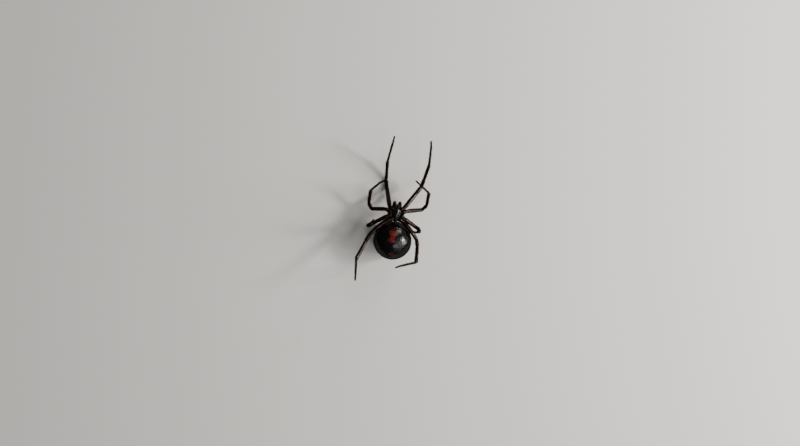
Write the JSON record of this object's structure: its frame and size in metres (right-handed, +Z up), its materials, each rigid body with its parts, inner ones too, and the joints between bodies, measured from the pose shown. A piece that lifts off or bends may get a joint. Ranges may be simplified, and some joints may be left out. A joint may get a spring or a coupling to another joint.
{
  "type": "black widow spider",
  "caption": "Life-size female black widow spider lying on its back, belly and red hourglass up, legs reaching up and forward.",
  "frame": {"origin": "middle of the model's outline in plan, at the floor it rests on", "axes": "+Y towards the head end, +X towards the spider's own left side, +Z up out of its belly"},
  "size_m": [0.0138, 0.0318, 0.0133],
  "materials": {
    "abdomen": "polished",
    "shell": "polished",
    "leg": "satin",
    "red_mark": "satin",
    "eye": "polished",
    "mouthpart": "satin"
  },
  "bodies": {
    "root": {"abdomen": "abdomen", "hourglass": "red_mark", "spinnerets": "mouthpart", "pedicel": "shell", "cephalothorax": "shell", "sternum": "shell", "labium": "mouthpart", "maxilla_left": "mouthpart", "maxilla_right": "mouthpart", "chelicera_left": "shell", "chelicera_right": "shell", "fang_left": "mouthpart", "fang_right": "mouthpart", "pedipalp_left": "leg", "pedipalp_right": "leg", "eye_front_middle_left": "eye", "eye_front_middle_right": "eye", "eye_front_side_left": "eye", "eye_front_side_right": "eye", "eye_rear_middle_left": "eye", "eye_rear_middle_right": "eye", "eye_rear_side_left": "eye", "eye_rear_side_right": "eye", "leg_left_1": "leg", "leg_left_2": "leg", "leg_left_3": "leg", "leg_left_4": "leg", "leg_right_1": "leg", "leg_right_2": "leg", "leg_right_3": "leg", "leg_right_4": "leg"}
  },
  "joints": []
}
